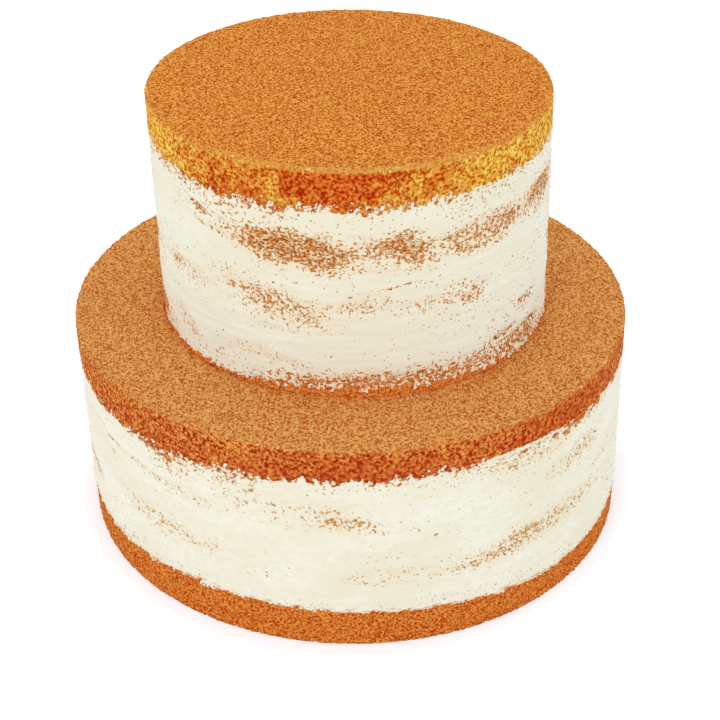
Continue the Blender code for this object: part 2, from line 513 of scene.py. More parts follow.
def new_material(name, roughness, specular=0.04):
    """An empty matte material, with its tree, its shader and the place that patterns are read at."""
    material = bpy.data.materials.new(name)
    material.use_nodes = True
    tree = material.node_tree
    shader = tree.nodes["Principled BSDF"]
    shader.inputs["Roughness"].default_value = roughness
    shader.inputs["Specular IOR Level"].default_value = specular
    place = add_node(tree, "ShaderNodeTexCoord").outputs["Object"]
    return material, tree, shader, place


# Widths of the grains, spots and drifts in the materials
CRUST_GRAIN = 0.85 * MM
WALL_GRAIN = 1.45 * MM
FOOT_GRAIN = 1.1 * MM
LAYER_GRAIN = 1.3 * MM
CREAM_DASH = 0.95 * MM
CREAM_SPECK = 1.2 * MM
CREAM_COMB = 0.75 * MM
CREAM_VEIL = 2.0 * MM
CREAM_MOTTLE = 2.6 * MM
CREAM_DENT = 3 * MM
TOAST_DRIFT = 5 * MM
BUTTER_DRIFT = 16 * MM
CRUMB_SHADE = 2.0 * MM

# Shifts that keep one pattern from following another of about its size
FLECK_SHIFT = (0.3, 0.7, 0.1)
DASH_SHIFT = (0.5, 0.2, 0.9)
SPECK_SHIFT = (0.1, 0.4, 0.6)


def crumb_colour(tree, place, middle, colours, size, contrast=1.0):
    """Grainy baked crumb: a middle colour with darker and paler grains, and a few pale flecks."""
    spots = grain(tree, place, size, detail=1.5)
    ramp_node = add_node(tree, "ShaderNodeValToRGB", {"Fac": spots})
    dark, pale = ramp_node.color_ramp.elements
    dark.position = 0.37
    dark.color = opaque(middle, 0.75 * contrast)
    pale.position = 0.63
    pale.color = opaque(middle, -0.45 * contrast)
    ramp_node.color_ramp.elements.new(0.5).color = opaque(middle)
    flecks = remap(tree, grain(tree, vector_of(tree, "ADD", place, FLECK_SHIFT), size * 1.1), 0.64, 0.71)
    share = math_of(tree, "MULTIPLY", flecks, 0.5 * contrast)
    return blend(tree, share, ramp_node.outputs[0], opaque(colours.crumb_pale)), spots


def roughen(tree, shader, height, distance, strength):
    """Gives the shader a fine bump from a height."""
    inputs = {"Height": height, "Distance": distance, "Strength": strength}
    bump = add_node(tree, "ShaderNodeBump", inputs)
    tree.links.new(bump.outputs[0], shader.inputs["Normal"])


def smeared_colour(tree, place, layer, colours):
    """Sponge behind the coat, with thin dashes of cream dragged over it."""
    crumb, _ = crumb_colour(tree, place, layer, colours, LAYER_GRAIN, 0.9)
    dashes = grain(tree, vector_of(tree, "ADD", place, DASH_SHIFT), CREAM_DASH, detail=1.5, stretch=1.5)
    return blend(tree, remap(tree, dashes, 0.48, 0.60), crumb, opaque(colours.cream_thin))


# How a bare top is baked: the colours of its crust, its wall, the wall's harder-baked places, which also
# paint the shade under the upper tier's rim, and the sponge that shows through the coat below it, and how
# much the grains of its crust and of its wall differ in shade
Bake = namedtuple("Bake", "crust wall toasted layer crust_contrast wall_contrast")


def crust_material(name, bake, colours):
    """A bare top layer: a fine baked crust, a pale lip and a coarser wall that is baked harder in places,
    with painted shade under the upper tier's rim and a painted shadow along the cream's edge.
    """
    material, tree, shader, place = new_material(name, 0.82)
    stretched = vector_of(tree, "MULTIPLY", place, (1.0, 0.75, 1.0))
    crust, crust_grain = crumb_colour(
        tree, stretched, bake.crust, colours, CRUST_GRAIN, bake.crust_contrast
    )
    wall, wall_grain = crumb_colour(tree, place, bake.wall, colours, WALL_GRAIN, bake.wall_contrast)
    hard_contrast = 0.55 * bake.wall_contrast
    # Harder-baked red, which at the upper tier's front also paints the shade under the rim
    toasted, _ = crumb_colour(tree, place, bake.toasted, colours, WALL_GRAIN, hard_contrast)
    drift = remap(tree, grain(tree, place, TOAST_DRIFT), 0.35, 0.65, -0.3, 0.3)
    toast_share = math_of(tree, "ADD", attribute(tree, "toasted"), drift)
    wall = blend(tree, remap(tree, toast_share, 0.1, 0.9), wall, toasted)
    # Painted shadow: dark maroon in spots along the cream's upper edge
    wall = blend(tree, attribute(tree, "edge_shadow"), wall, opaque(colours.edge_shadow))
    smeared = smeared_colour(tree, place, bake.layer, colours)
    wall = blend(tree, attribute(tree, "coated"), wall, smeared)
    both = blend(tree, attribute(tree, "crust"), wall, crust)
    lip_grain = remap(tree, crust_grain, 0.42, 0.60, 0.35, 1.0)
    lip_share = math_of(tree, "MULTIPLY", attribute(tree, "lip"), lip_grain)
    tree.links.new(blend(tree, lip_share, both, opaque(colours.lip)), shader.inputs["Base Color"])
    roughen(tree, shader, math_of(tree, "ADD", wall_grain, crust_grain), 0.5 * MM, 0.6)
    return material


def layer_material(name, bare, layer, colours):
    """A layer of sponge: bare crumb at the foot, and crumb with smears of cream behind the coat."""
    material, tree, shader, place = new_material(name, 0.85)
    foot, foot_grain = crumb_colour(tree, place, bare, colours, FOOT_GRAIN, 1.2)
    smeared = smeared_colour(tree, place, layer, colours)
    tree.links.new(blend(tree, attribute(tree, "coated"), foot, smeared), shader.inputs["Base Color"])
    roughen(tree, shader, foot_grain, 0.5 * MM, 0.7)
    return material


def cream_material(name, speck, layer, colours):
    """Scraped cream: buttery drifts, a tint where it is thin, and fine crumbs caught in it."""
    material, tree, shader, place = new_material(name, 0.55, specular=0.12)
    drifts = remap(tree, grain(tree, place, BUTTER_DRIFT, 3.0, 0.55, stretch=2.5), 0.40, 0.66)
    warm = add_node(
        tree,
        "ShaderNodeMath",
        {0: drifts, 1: attribute(tree, "warm")},
        operation="ADD",
        use_clamp=True,
    ).outputs[0]
    cream = blend(tree, warm, opaque(colours.cream), opaque(colours.cream_warm))
    mottles = remap(tree, grain(tree, place, CREAM_MOTTLE, 3.0, stretch=1.5), 0.43, 0.64, 0.0, 0.85)
    cream = blend(tree, mottles, cream, opaque(colours.cream_warm))
    # Painted light: paler, less orange cream low on the upper coat, against the crust's orange bounce and
    # shade
    cream = blend(tree, attribute(tree, "painted_pale_share"), cream, opaque(colours.painted_pale_cream))

    # Sponge tints the cream where it is thin
    veil_grain = remap(tree, grain(tree, place, CREAM_VEIL, 3.0, stretch=1.8), 0.38, 0.66)
    veil = math_of(tree, "MULTIPLY", attribute(tree, "thin"), veil_grain)
    veiled = blend(tree, veil, cream, opaque(colours.cream_thin))

    # Crumbs show wherever the grain is over a limit, which falls as there are more specks
    fine = grain(tree, vector_of(tree, "ADD", place, SPECK_SHIFT), CREAM_SPECK, 1.5, stretch=1.3)
    limit = remap(tree, attribute(tree, "specks"), 0.0, 1.0, 0.76, 0.46)
    over = math_of(tree, "SUBTRACT", fine, limit)
    speck_colour = blend(tree, remap(tree, over, 0.03, 0.14), opaque(speck), opaque(layer))
    speckled = blend(tree, remap(tree, over, 0.0, 0.06), veiled, speck_colour)

    # The lower coat's foot is combed into fine lines of cream and crumb
    combs = remap(tree, grain(tree, place, CREAM_COMB, 1.0, 0.5, stretch=9.0), 0.50, 0.56)
    combed = math_of(tree, "MULTIPLY", attribute(tree, "combed"), combs)
    both = blend(tree, combed, speckled, opaque(colours.lower_foot))
    tree.links.new(both, shader.inputs["Base Color"])
    roughen(tree, shader, grain(tree, place, CREAM_DENT, 4.0, stretch=2.0), 0.4 * MM, 0.5)
    return material


def crumb_material(name, dark, pale):
    """Loose crumbs of many shades between a dark colour and a pale one."""
    material, tree, shader, place = new_material(name, 0.85)
    shade = remap(tree, grain(tree, place, CRUMB_SHADE), 0.38, 0.62)
    tree.links.new(blend(tree, shade, opaque(dark), opaque(pale)), shader.inputs["Base Color"])
    return material


# ---------------------------------------------------------------- geometry nodes


def new_tree(name, inputs):
    """A Geometry Nodes group with a mesh coming in and going out, and these named number inputs."""
    tree = bpy.data.node_groups.new(name, "GeometryNodeTree")
    tree.interface.new_socket("Geometry", in_out="INPUT", socket_type="NodeSocketGeometry")
    for label, kind in inputs:
        tree.interface.new_socket(label, in_out="INPUT", socket_type=kind)
    tree.interface.new_socket("Geometry", in_out="OUTPUT", socket_type="NodeSocketGeometry")
    source = tree.nodes.new("NodeGroupInput")
    return tree, source.outputs


def close_tree(tree, geometry, material):
    """Ends a tree with real geometry that wears its material."""
    real = add_node(tree, "GeometryNodeRealizeInstances", {"Geometry": geometry})
    dressed = add_node(tree, "GeometryNodeSetMaterial", {"Geometry": real.outputs[0], "Material": material})
    end = tree.nodes.new("NodeGroupOutput")
    tree.links.new(dressed.outputs[0], end.inputs[0])


def run_tree(name, tree, start_mesh, values):
    """Runs a tree on a mesh with these values and returns the plain mesh that it makes."""
    holder = bpy.data.objects.new(name + "_source", start_mesh)
    bpy.context.scene.collection.objects.link(holder)
    modifier = holder.modifiers.new("Shape", "NODES")
    modifier.node_group = tree
    inputs = [item for item in tree.interface.items_tree if item.in_out == "INPUT"]
    identifiers = {item.name: item.identifier for item in inputs}
    for label, value in values.items():
        modifier[identifiers[label]] = value
    evaluated = holder.evaluated_get(bpy.context.evaluated_depsgraph_get())
    mesh = bpy.data.meshes.new_from_object(evaluated)
    mesh.name = name
    bpy.data.objects.remove(holder)
    return mesh


LAYER_INPUTS = [
    ("Radius", "NodeSocketFloat"),
    ("Low", "NodeSocketFloat"),
    ("High", "NodeSocketFloat"),
    ("Low Shift", "NodeSocketFloat"),
    ("High Shift", "NodeSocketFloat"),
    ("Segments", "NodeSocketInt"),
    ("Rows", "NodeSocketInt"),
    ("Crumb Size", "NodeSocketFloat"),
    ("Crumb Depth", "NodeSocketFloat"),
    ("Pore Size", "NodeSocketFloat"),
    ("Pore Depth", "NodeSocketFloat"),
]


def layer_tree(material):
    """A disc of sponge with a crumbly, pored rim, between two heights of a leaning axis."""
    tree, given = new_tree("Sponge layer", LAYER_INPUTS)
    sizes = {
        "Vertices": given["Segments"],
        "Side Segments": given["Rows"],
        "Radius": given["Radius"],
        "Depth": math_of(tree, "SUBTRACT", given["High"], given["Low"]),
    }
    disc = add_node(tree, "GeometryNodeMeshCylinder", sizes, fill_type="TRIANGLE_FAN")
    spot = add_node(tree, "GeometryNodeInputPosition").outputs[0]
    middle = math_of(tree, "MULTIPLY", math_of(tree, "ADD", given["High"], given["Low"]), 0.5)
    lift = add_node(tree, "ShaderNodeCombineXYZ", {"Z": middle}).outputs[0]
    place = vector_of(tree, "ADD", spot, lift)

    # Crumbs stand out and pores go in, on the rim only
    crumb_scale = math_of(tree, "DIVIDE", 1.0, given["Crumb Size"])
    crumb_noise = {"Vector": place, "Scale": crumb_scale, "Detail": 2.0, "Roughness": 0.65}
    crumbs = add_node(tree, "ShaderNodeTexNoise", crumb_noise).outputs[0]
    centred = math_of(tree, "SUBTRACT", crumbs, 0.5)
    crumb_height = math_of(tree, "MULTIPLY", centred, given["Crumb Depth"])
    pore_scale = math_of(tree, "DIVIDE", 1.0, given["Pore Size"])
    pores = add_node(tree, "ShaderNodeTexVoronoi", {"Vector": place, "Scale": pore_scale})
    pore_shape = remap(tree, pores.outputs["Distance"], 0.08, 0.30, -1.0, 0.0)
    pore_height = math_of(tree, "MULTIPLY", pore_shape, given["Pore Depth"])
    out = math_of(tree, "MULTIPLY_ADD", crumb_height, 4.0, pore_height)
    rim = math_of(tree, "MULTIPLY", out, disc.outputs["Side"])
    across = vector_of(tree, "NORMALIZE", vector_of(tree, "MULTIPLY", spot, (1.0, 1.0, 0.0)))
    pushed = vector_of(tree, "SCALE", across, scale=rim)

    # The disc leans with its tier
    height = add_node(tree, "ShaderNodeSeparateXYZ", {0: place}).outputs["Z"]
    shift = remap(tree, height, given["Low"], given["High"], given["Low Shift"], given["High Shift"])
    lean = add_node(tree, "ShaderNodeCombineXYZ", {"X": shift}).outputs[0]
    offset = vector_of(tree, "ADD", vector_of(tree, "ADD", lift, lean), pushed)
    moved = add_node(tree, "GeometryNodeSetPosition", {"Geometry": disc.outputs["Mesh"], "Offset": offset})
    close_tree(tree, moved.outputs[0], material)
    return tree


CRUMB_INPUTS = [
    ("Density", "NodeSocketFloat"),
    ("Crumb Size", "NodeSocketFloat"),
    ("Seed", "NodeSocketInt"),
]


# A crumb's largest turn about each axis, in radians
CRUMB_TURN = (6.28, 6.28, 6.28)


def random_vector(tree, low, high, seed):
    """A random vector for each crumb."""
    inputs = {0: low, 1: high, "Seed": seed}
    return add_node(tree, "FunctionNodeRandomValue", inputs, data_type="FLOAT_VECTOR").outputs[0]


def crumb_tree(name, material, share_name):
    """Loose crumbs of uneven size and turn, strewn over a surface as its points' named share says."""
    tree, given = new_tree(name, CRUMB_INPUTS)
    share = add_node(tree, "GeometryNodeInputNamedAttribute", {"Name": share_name}).outputs[0]
    crowding = math_of(tree, "MULTIPLY", share, given["Density"])
    surface = {"Mesh": given["Geometry"], "Density": crowding, "Seed": given["Seed"]}
    strewn = add_node(tree, "GeometryNodeDistributePointsOnFaces", surface)
    ball = {"Radius": given["Crumb Size"], "Subdivisions": 1}
    crumb = add_node(tree, "GeometryNodeMeshIcoSphere", ball)
    turn = random_vector(tree, (0, 0, 0), CRUMB_TURN, 3)
    stretch = random_vector(tree, (0.55, 0.4, 0.4), (1.5, 1.0, 1.1), 5)

    # Crumbs are largest where they lie thickest
    size = vector_of(tree, "SCALE", stretch, scale=remap(tree, share, 0.0, 0.8, 0.85, 1.6))
    copies = {
        "Points": strewn.outputs["Points"],
        "Instance": crumb.outputs[0],
        "Rotation": add_node(tree, "FunctionNodeEulerToRotation", {0: turn}).outputs[0],
        "Scale": size,
    }
    placed = add_node(tree, "GeometryNodeInstanceOnPoints", copies)
    close_tree(tree, placed.outputs[0], material)
    return tree


# What is strewn: the attribute that says where, how many on a square metre, and how large beside a crumb
Strewing = namedtuple("Strewing", "share density scale")
CRUMBS = Strewing("crumb_share", 420000.0, 1.0)
LUMPS = Strewing("lump_share", 800000.0, 1.3)
FOOT_CRUMBS = Strewing("crumb_share", 900000.0, 1.1)


def strew(name, surface, strewing, shades, sizes, slot):
    """Strews crumbs or lumps between these two shades over a surface."""
    material = crumb_material(name, *shades)
    tree = crumb_tree(name, material, strewing.share)
    radius = sizes.loose_crumb * strewing.scale
    values = {"Density": strewing.density, "Crumb Size": radius, "Seed": sizes.seed}
    add_piece(name, run_tree(name, tree, surface.copy(), values), material, slot)


# ---------------------------------------------------------------- pieces


def build_layers(tier, sizes, colours, bare, layer):
    """The three coated layers of a tier. The lowest one is bare at its foot."""
    material = layer_material(f"{tier.name}_layer", bare, layer, colours)
    tree = layer_tree(material)
    for number in (1, 2, 3):
        node = f"{tier.name}_sponge_{number}"
        low, high = (corner.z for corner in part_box(node))
        radius = tier.radius - sizes.sponge_inset
        values = {
            "Radius": radius,
            "Low": low - (sizes.foot_sink if number == 1 and tier.base > 0 else 0),
            "High": high,
            "Low Shift": tier.axis(low),
            "High Shift": tier.axis(high),
            "Segments": round(FULL_TURN * radius / sizes.sponge_step),
            "Rows": round((high - low) / sizes.sponge_step),
            "Crumb Size": sizes.crumb_size,
            "Crumb Depth": sizes.crumb_depth,
            "Pore Size": sizes.pore_size,
            "Pore Depth": sizes.pore_depth,
        }
        mesh = run_tree(node + "_crumb", tree, bpy.data.meshes.new("start"), values)
        mesh.shade_smooth()
        points = np.array([vertex.co for vertex in mesh.vertices])
        angle = tier.angle_of(points)
        _, uneven, smeared = edge_profile(tier, angle)
        ragged = sizes.fringe * uneven * noise(points, 3 * MM, sizes.seed)
        above_foot = points[:, 2] - tier.foot_edge(angle) + smeared * MM - ragged
        store(mesh, "coated", ramp(above_foot, 1.5 * MM, 6.0 * MM))
        add_piece(node + "_crumb", mesh, material, slot_of(tier), node)



# How clearly a pale lip shows round each baked top, at these angles in degrees
LIP_ANGLES = [-180, -100, -45, -28, 30, 48, 100, 180]
LIPS = {
    "upper": [0.5, 0.2, 0.1, 1.0, 1.0, 0.2, 0.1, 0.5],
    "lower": [0.2, 0.1, 0.0, 0.1, 0.1, 0.0, 0.1, 0.2],
}

# Where a bare wall is baked harder: middle and half width in degrees, and how much under the rim and
# at the coat's edge. A toast that is stronger under the rim, as at the upper tier's front, also paints the
# shade of the lip there as a darker red
Toast = namedtuple("Toast", "middle width high low")
TOASTS_AND_RIM_SHADE = {
    "upper": [
        Toast(-3, 19, 1.45, 0.8),
        Toast(-34, 19, 0.6, 1.0),
        Toast(24, 14, 0.5, 0.5),
        Toast(60, 30, 0.0, 0.25),
        Toast(118, 30, 0.9, 0.5),
        Toast(205, 26, 0.9, 0.6),
    ],
    "lower": [
        Toast(2, 26, 0.55, 1.2),
        Toast(45, 26, 0.8, 0.85),
        Toast(-40, 24, 0.3, 0.6),
        Toast(130, 40, 0.7, 1.0),
        Toast(220, 45, 0.6, 1.0),
    ],
}


def disc_grid(count):
    """Evenly spread points of a unit disc in a square grid of count by count, as angle and radius."""
    line = np.linspace(-1, 1, count)
    across, along = (part.ravel() for part in np.meshgrid(line, line))
    wide = np.abs(across) > np.abs(along)
    radius = np.where(wide, across, along)
    with np.errstate(divide="ignore", invalid="ignore"):
        turn = np.where(wide, along / across, 2 - across / along) * math.pi / 4
    return np.where(radius == 0, 0, turn), radius


def rim_order(count):
    """The grid's outer points, once round and anticlockwise from above."""
    grid = np.arange(count * count).reshape(count, count)
    return np.concatenate([grid[0, :-1], grid[:-1, -1], grid[-1, :0:-1], grid[:0:-1, 0]])


# Turns of the rings over a baked top's rim, from its flat crust to its upright wall, in degrees
RIM_TURNS = [22, 45, 68, 90]


def bare_top_rings(tier, sizes, low):
    """The radius and height of each ring, from the crust's edge over the rim and down the wall."""
    wall_radius = tier.radius - sizes.wall_inset
    flat_radius = wall_radius - sizes.rim_rounding
    shoulder = tier.top - sizes.rim_rounding
    rings = []
    for bend in np.radians(RIM_TURNS):
        out, up = math.sin(bend), math.cos(bend)
        rings.append((flat_radius + sizes.rim_rounding * out, shoulder + sizes.rim_rounding * up))
    rows = round((shoulder - low) / sizes.sponge_step)
    rings += [(wall_radius, shoulder - step * sizes.sponge_step) for step in range(1, rows + 1)]
    return rings


def bare_top_faces(count, rings):
    """Faces of the crust's grid, of the rings round it and of the fan under them."""
    grid = np.arange(count * count).reshape(count, count)
    corners = [grid[:-1, :-1], grid[:-1, 1:], grid[1:, 1:], grid[1:, :-1]]
    faces = np.stack(corners, -1).reshape(-1, 4).tolist()
    rim = rim_order(count)
    loops = [rim]
    loops += [grid.size + ring * len(rim) + np.arange(len(rim)) for ring in range(rings)]
    for high, low in zip(loops, loops[1:]):
        faces += np.stack([np.roll(high, -1), high, low, np.roll(low, -1)], 1).tolist()
    last = loops[-1]
    centre = grid.size + rings * len(rim)
    faces += [(after, here, centre) for here, after in zip(last.tolist(), np.roll(last, -1).tolist())]
    return faces


def bare_top_relief(tier, sizes, points, angle, is_wall):
    """How far each point stands out: fine grain on the crust, coarser crumb and pores on the wall."""
    seed = sizes.seed
    fine = noise(points, 1.9 * MM, seed + 11) + 0.5 * noise(points, 5 * MM, seed + 12)
    crumb = noise(points, 2.0 * MM, seed + 13) + 0.6 * noise(points, 4.5 * MM, seed + 14)
    pores = ramp(noise(points, 3.2 * MM, seed + 15), 0.25, 0.6)
    behind = ramp(tier.top_edge(angle) - points[:, 2], 1.0 * MM, 4.0 * MM)
    wall = 0.45 * sizes.crumb_depth * crumb - 0.6 * sizes.pore_depth * pores - 0.2 * MM * behind
    relief = np.where(is_wall, wall, sizes.crust_relief * fine)
    relief[-1] = 0
    return relief


def toasting_and_rim_shade(tier, degrees, down):
    """How hard the bare wall is baked at each point, with painted shade of the lip where a toast is
    stronger under the rim. Down is 0 under the rim and 1 at the coat's edge.
    """
    toasted = np.zeros(len(degrees))
    for toast in TOASTS_AND_RIM_SHADE[tier.name]:
        amount = toast.high + (toast.low - toast.high) * down
        nearness = hill(turn_from(degrees, toast.middle), 0, toast.width)
        toasted = np.maximum(toasted, amount * nearness)
    return toasted


def bake_shares(tier, sizes, points, angle, depth):
    """What the crust's material and the rim's crumbs read at each point of a bare top."""
    seed = sizes.seed
    degrees = np.degrees(angle)
    down = np.clip((depth - 2 * MM) / (tier.top - tier.top_edge(angle)), 0, 1)
    # Harder baking, with painted shade under the rim where a toast is stronger there
    toasted = toasting_and_rim_shade(tier, degrees, down)
    under_edge = below_top_edge(tier, angle, points, sizes)
    # Painted shadow: dark spots just above the cream's ragged upper edge, stronger where the wall is redder
    spotty = ramp(noise(points, 2.6 * MM, seed + 19), -0.25, 0.35) * np.clip(0.35 + toasted, 0, 1)
    edge_shadow = hill(under_edge, 0, 1.1 * MM) * spotty * np.clip(edge_profile(tier, angle)[0], 0, 1)

    # From the rim it is so far down the wall, or so far in over the crust, which counts as less than 0
    wobble = MM * (0.9 * noise(points, 2.2 * MM, seed + 16) + 0.9 * noise(points, 5 * MM, seed + 17))
    from_axis = np.hypot(points[:, 0] - tier.axis(tier.top), points[:, 1])
    from_rim = depth - np.clip(tier.radius - sizes.wall_inset - from_axis, 0, 1)
    lip = np.interp(degrees, LIP_ANGLES, LIPS[tier.name], period=360)
    lip *= ramp(from_rim + 0.4 * wobble, -4.6 * MM, -2.4 * MM)
    lip *= 1 - ramp(from_rim, 0.4 * MM, 1.6 * MM)
    return {
        "coated": ramp(under_edge, 1.5 * MM, 5.0 * MM),
        "edge_shadow": 0.9 * edge_shadow,
        "toasted": toasted,
        "crust": 1 - ramp(from_rim + wobble, -1.2 * MM, 1.6 * MM),
        "lip": lip,
        "crumb_share": hill(from_rim, 0, 1.2 * MM) * ramp(noise(points, 9 * MM, seed + 18), -0.2, 0.5),
    }


def build_bare_top(tier, sizes, colours, bake):
    """The bare layer on top of a tier: a baked crust, a soft rim and a crumbly wall."""
    node = f"{tier.name}_sponge_4"
    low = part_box(node)[0].z - sizes.crumb_overlap
    rings = bare_top_rings(tier, sizes, low)
    count = round(tier.radius * math.sqrt(math.pi) / sizes.top_step)
    turn, share = disc_grid(count)
    crust = np.stack([share * np.cos(turn), share * np.sin(turn), 0 * share], 1)
    crust *= tier.radius - sizes.wall_inset - sizes.rim_rounding
    crust += (tier.axis(tier.top), 0, tier.top)
    rim_angle = tier.angle_of(crust[rim_order(count)])
    wall = np.concatenate([tier.point(rim_angle, radius, height) for radius, height in rings])
    points = np.concatenate([crust, wall, [(tier.axis(low), 0, low)]])
    is_wall = np.zeros(len(points), bool)
    is_wall[len(crust) : -1] = True

    angle = tier.angle_of(points)
    depth = tier.top - points[:, 2]
    level = np.clip(1 - depth / sizes.rim_rounding, 0, 1)[:, None]
    direction = outward(angle) * np.sqrt(1 - level**2) + (0, 0, 1) * level
    points += direction * bare_top_relief(tier, sizes, points, angle, is_wall)[:, None]

    mesh = new_mesh(node + "_bare", points, bare_top_faces(count, len(rings)))
    for name, values in bake_shares(tier, sizes, points, angle, depth).items():
        store(mesh, name, values)
    add_piece(
        node + "_bare", mesh, crust_material(f"{tier.name}_crust", bake, colours), slot_of(tier), node
    )
    return mesh


class Scraping:
    """How the scraper has left a tier's coat at each of its points."""

    def __init__(self, tier, sizes, angle, points):
        self.tier = tier
        self.sizes = sizes
        self.angle = angle
        self.points = points
        self.seed = coat_seed(tier, sizes)
        self.bare, self.thin = bareness(tier, angle, points, self.seed)
        self.fray_edges()

    def fray_edges(self):
        """Finds how far each point lies inside the ragged edges, where the coat dives behind the crumb."""
        tier, points, seed = self.tier, self.points, self.seed
        top_share, foot_share, smeared = edge_profile(tier, self.angle)
        coarse = 0.3 * noise(points, 8 * MM, seed + 5) + 0.4 * noise(points, 3.2 * MM, seed + 6)

        # The upper coat's foot ends in round islands of cream, and the lower one's in dragged dashes
        if tier.base > 0:
            torn = noise(points, 2.2 * MM, seed + 14, 1.2)
        else:
            torn = noise(points, 1.5 * MM, seed + 14, 4.5)
        torn = 0.6 * torn + 0.3 * noise(points, 1.6 * MM, seed + 16)
        ragged = self.sizes.fringe * foot_share * (coarse + torn)
        below_top = below_top_edge(tier, self.angle, points, self.sizes)
        self.above_foot = points[:, 2] - tier.foot_edge(self.angle) + smeared * MM + ragged
        self.from_edge = np.minimum(below_top, self.above_foot)
        at_top = below_top < self.above_foot
        self.edge_share = np.where(at_top, top_share, 0.66 * foot_share)
        self.patchy = np.clip(1.0 + 0.7 * noise(points, 12 * MM, seed + 15), 0.3, 1.4)
        reach = MM * (4.2 + 11.0 * np.clip(self.edge_share - 1, 0, 1))
        closeness = np.exp(-np.clip(self.from_edge, 0, 1) / reach)
        self.near_edge = closeness * np.clip(self.edge_share, 0, 1.2) * self.patchy
        rubbed = np.where(at_top, 0.42, 0.24) + 0.6 * noise(points, 2.2 * MM, seed + 7)
        self.bare += self.near_edge * rubbed
        self.dive = 1 - ramp(self.from_edge, -0.45 * MM, 0.25 * MM)

    def relief(self):
        """How far each point stands out: streaks and waves, less where the coat is thin or dives."""
        points, sizes, seed = self.points, self.sizes, self.seed
        streaks = noise(points, 2.4 * MM, seed + 8, 14) + 0.5 * noise(points, 1.3 * MM, seed + 9, 9)
        wander = noise(points, 11 * MM, seed + 10, 3) + 0.35 * noise(points, 4 * MM, seed + 11, 2)
        streaked = sizes.streak_depth * streaks * (1 - 0.6 * np.clip(self.bare, 0, 1))
        recess = sizes.thin_depth * (np.clip(self.bare, 0, 1.1) * 0.62 + self.dive)
        return streaked + 0.5 * sizes.coat_wander * wander - recess

    def shares(self):
        """What the cream's material and the crumbs read at each point."""
        tier, points = self.tier, self.points
        right = ramp(np.sin(self.angle), -0.1, 0.6)
        sprinkled = SPRINKLING[tier.name] + 0.12 * right + 0.18 * noise(points, 14 * MM, self.seed + 12, 2)
        smeared = 0.75 * np.clip(self.thin, 0, 1) + 0.95 * self.near_edge + 0.6 * self.dive
        specks = np.clip(np.clip(sprinkled, 0, 1) + smeared, 0, 1)
        at_edge = np.clip(self.edge_share, 0, 1) * self.patchy
        caught = 0.22 * np.clip(specks - 0.18, 0, 1) * (1 - self.dive)

        # Painted light: just above the lower crust the upper coat is painted paler, less orange and less
        # buttery, against the orange light that the crust throws up on to it and the shade at the foot,
        # higher at the sides
        degrees = np.degrees(self.angle)
        reach = MM * np.interp(np.abs(degrees), [15, 60], [14, 28])
        over_crust = np.exp(-np.clip(points[:, 2] - tier.base, 0, 1) / reach) * (tier.base > 0)
        return {
            "thin": np.clip(self.thin + 0.3 * self.near_edge + self.dive, 0, 1),
            "specks": specks,
            "combed": ramp(2.6 * MM - self.above_foot, 0.0, 2.6 * MM) * (tier.base == 0),
            "painted_pale_share": over_crust,
            "warm": WARMTH[tier.name] * hill(degrees, 0, 45) * (1 - 0.4 * over_crust),
            "crumb_share": caught + 0.75 * hill(self.from_edge, 0.7 * MM, 1.0 * MM) * at_edge,
            "lump_share": hill(self.from_edge, 0.2 * MM, 0.9 * MM)
            * np.clip(self.edge_share, 0, 1.2)
            * self.patchy,
        }


# How far in from the tier's wall the back of its coat lies
COAT_DEPTH = 2.2 * MM


def build_coat(tier, sizes, material):
    """The scraped coat of a tier. It runs on behind the bare sponge at both of its edges."""
    node = f"{tier.name}_cream_coat"
    count = round(FULL_TURN * tier.radius / sizes.coat_step)
    round_once = np.linspace(-math.pi, math.pi, count, endpoint=False)
    start = np.maximum(tier.foot_edge(round_once) - sizes.edge_overlap, tier.base + 0.3 * MM)
    end = tier.top_edge(round_once) + sizes.edge_overlap
    rows = round(float(np.mean(end - start)) / sizes.coat_step)
    heights = [start + (end - start) * share for share in np.linspace(0, 1, rows)]
    wall = np.concatenate([tier.point(round_once, tier.radius, height) for height in heights])
    scraping = Scraping(tier, sizes, np.tile(round_once, rows), wall)
    wall += outward(scraping.angle) * scraping.relief()[:, None]

    inner = tier.radius - COAT_DEPTH
    back = np.concatenate([tier.point(round_once, inner, height) for height in (end, start)])
    faces = ring_faces(rows + 2, count, closed=True)
    mesh = new_mesh(node + "_scraped", np.concatenate([wall, back]), faces)
    for name, values in scraping.shares().items():
        store(mesh, name, values)
    add_piece(node + "_scraped", mesh, material, "cream", node)
    return mesh


# The rings that foot crumbs lie on, from the outer one in: how far out from the wall, and how thickly
FOOT_RINGS = {3.0 * MM: 0.02, 0.9 * MM: 0.4, -0.2 * MM: 1.0}


def foot_ring(tier, surface):
    """A narrow flat ring round a tier's foot, for crumbs to lie on."""
    angle = np.linspace(-math.pi, math.pi, 360, endpoint=False)
    points = np.concatenate([tier.point(angle, tier.radius + out, surface) for out in FOOT_RINGS])
    mesh = new_mesh("foot_ring", points, ring_faces(len(FOOT_RINGS), len(angle)))
    uneven = np.clip(0.5 + 0.5 * noise(points, 12 * MM, 3), 0.3, 1)
    store(mesh, "crumb_share", np.repeat(list(FOOT_RINGS.values()), len(angle)) * uneven)
    return mesh


# ---------------------------------------------------------------- operators


class CAKE_OT_sponge_layers(bpy.types.Operator):
    """Build the coated sponge layers of both tiers"""

    bl_idname = "cake.sponge_layers"
    bl_label = "Sponge Layers"

    def execute(self, context):
        scene = context.scene
        colours = scene.cake_colours
        build_layers(Tier("upper"), scene.cake_sizes, colours, colours.foot, colours.layer)
        build_layers(Tier("lower"), scene.cake_sizes, colours, colours.lower_foot, colours.tan_layer)
        return {"FINISHED"}


